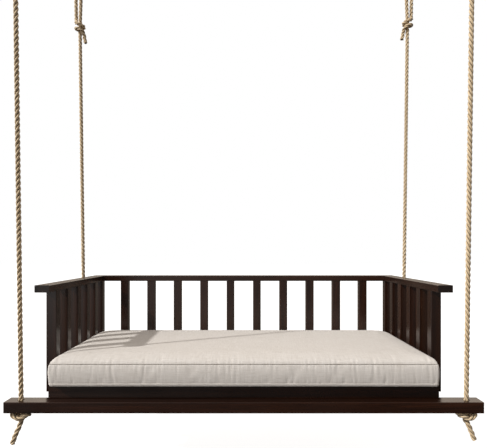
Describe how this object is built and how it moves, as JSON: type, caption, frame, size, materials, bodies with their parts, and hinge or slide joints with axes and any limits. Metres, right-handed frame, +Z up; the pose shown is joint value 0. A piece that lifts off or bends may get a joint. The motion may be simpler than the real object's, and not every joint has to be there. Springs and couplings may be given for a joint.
{
  "type": "hanging swing bed",
  "caption": "Slatted wooden day bed on two carrying beams, hung from the ceiling on twisted ropes with loop and stopper knots, with one fabric mattress.",
  "frame": {"origin": "on the ceiling's surface, midway between the four eye bolts' shanks", "axes": "+X to the right of someone who faces the bed, +Y towards its back, +Z up"},
  "size_m": [2.348, 1.0845, 2.9349],
  "materials": {
    "espresso_wood": "dark espresso stain under a semi-gloss clear coat",
    "pine_wood": "planed, unfinished",
    "linen": "woven linen cover",
    "hemp_rope": "three-strand twisted natural fibre",
    "zinc_steel": "zinc plated"
  },
  "bodies": {
    "ceiling": {"eye_bolts": "zinc_steel"},
    "front_links": {"front_links": "zinc_steel"},
    "rear_links": {"rear_links": "zinc_steel"},
    "front_left_rope": {"front_left_rope": "hemp_rope", "front_left_loop_knot": "hemp_rope"},
    "front_right_rope": {"front_right_rope": "hemp_rope", "front_right_loop_knot": "hemp_rope"},
    "rear_left_rope": {"rear_left_rope": "hemp_rope", "rear_left_loop_knot": "hemp_rope"},
    "rear_right_rope": {"rear_right_rope": "hemp_rope", "rear_right_loop_knot": "hemp_rope"},
    "front_left_neck": {"front_left_rope_neck": "hemp_rope"},
    "bed": {"front_beam": "espresso_wood", "rear_beam": "espresso_wood", "front_cleat": "espresso_wood", "front_rail": "espresso_wood", "rear_rail": "espresso_wood", "left_rail": "espresso_wood", "right_rail": "espresso_wood", "joist_1": "pine_wood", "joist_2": "pine_wood", "joist_3": "pine_wood", "joist_4": "pine_wood", "joist_5": "pine_wood", "deck_boards": "pine_wood", "left_cap": "espresso_wood", "right_cap": "espresso_wood", "back_cap": "espresso_wood", "left_front_post": "espresso_wood", "left_spindle_1": "espresso_wood", "left_spindle_2": "espresso_wood", "left_spindle_3": "espresso_wood", "left_spindle_4": "espresso_wood", "left_corner_post": "espresso_wood", "right_front_post": "espresso_wood", "right_spindle_1": "espresso_wood", "right_spindle_2": "espresso_wood", "right_spindle_3": "espresso_wood", "right_spindle_4": "espresso_wood", "right_corner_post": "espresso_wood", "back_spindle_1": "espresso_wood", "back_spindle_2": "espresso_wood", "back_spindle_3": "espresso_wood", "back_spindle_4": "espresso_wood", "back_spindle_5": "espresso_wood", "back_spindle_6": "espresso_wood", "back_spindle_7": "espresso_wood", "back_spindle_8": "espresso_wood", "back_spindle_9": "espresso_wood", "back_spindle_10": "espresso_wood", "mattress": "linen", "dowels": "pine_wood", "spindle_screws": "zinc_steel", "deck_screws": "zinc_steel", "beam_bolts": "zinc_steel", "front_left_stopper": "hemp_rope", "front_right_stopper": "hemp_rope", "rear_left_stopper": "hemp_rope", "rear_right_stopper": "hemp_rope"}
  },
  "joints": [
    {"name": "swing", "type": "hinge", "parent": "ceiling", "child": "front_links", "pos_m": [-1.142, -0.481, -0.064], "axis": [1, 0, 0], "range_deg": [-15, 15]},
    {"name": "rear_swing", "type": "hinge", "parent": "ceiling", "child": "rear_links", "pos_m": [-1.142, 0.481, -0.064], "axis": [1, 0, 0], "range_deg": [-15, 15]},
    {"name": "sway", "type": "hinge", "parent": "front_links", "child": "front_left_rope", "pos_m": [-1.142, -0.481, -0.11], "axis": [0, 1, 0], "range_deg": [-4.2, 4.2]},
    {"name": "front_right_sway", "type": "hinge", "parent": "front_links", "child": "front_right_rope", "pos_m": [1.142, -0.481, -0.11], "axis": [0, 1, 0], "range_deg": [-4.2, 4.2]},
    {"name": "rear_left_sway", "type": "hinge", "parent": "rear_links", "child": "rear_left_rope", "pos_m": [-1.142, 0.481, -0.11], "axis": [0, 1, 0], "range_deg": [-4.2, 4.2]},
    {"name": "rear_right_sway", "type": "hinge", "parent": "rear_links", "child": "rear_right_rope", "pos_m": [1.142, 0.481, -0.11], "axis": [0, 1, 0], "range_deg": [-4.2, 4.2]},
    {"name": "neck_sway", "type": "hinge", "parent": "front_left_rope", "child": "front_left_neck", "pos_m": [-1.1, -0.481, -2.64], "axis": [0, 1, 0], "range_deg": [-4.4, 4.4]},
    {"name": "bed_swing", "type": "hinge", "parent": "front_left_neck", "child": "bed", "pos_m": [-1.1, -0.481, -2.64], "axis": [1, 0, 0], "range_deg": [-15.5, 15.5]}
  ],
  "couplings": [
    {"joint": "rear_swing", "follows": "swing", "ratio": 1},
    {"joint": "front_right_sway", "follows": "sway", "ratio": 1},
    {"joint": "rear_left_sway", "follows": "sway", "ratio": 1},
    {"joint": "rear_right_sway", "follows": "sway", "ratio": 1},
    {"joint": "neck_sway", "follows": "sway", "ratio": -1.0382},
    {"joint": "bed_swing", "follows": "swing", "ratio": -1}
  ]
}
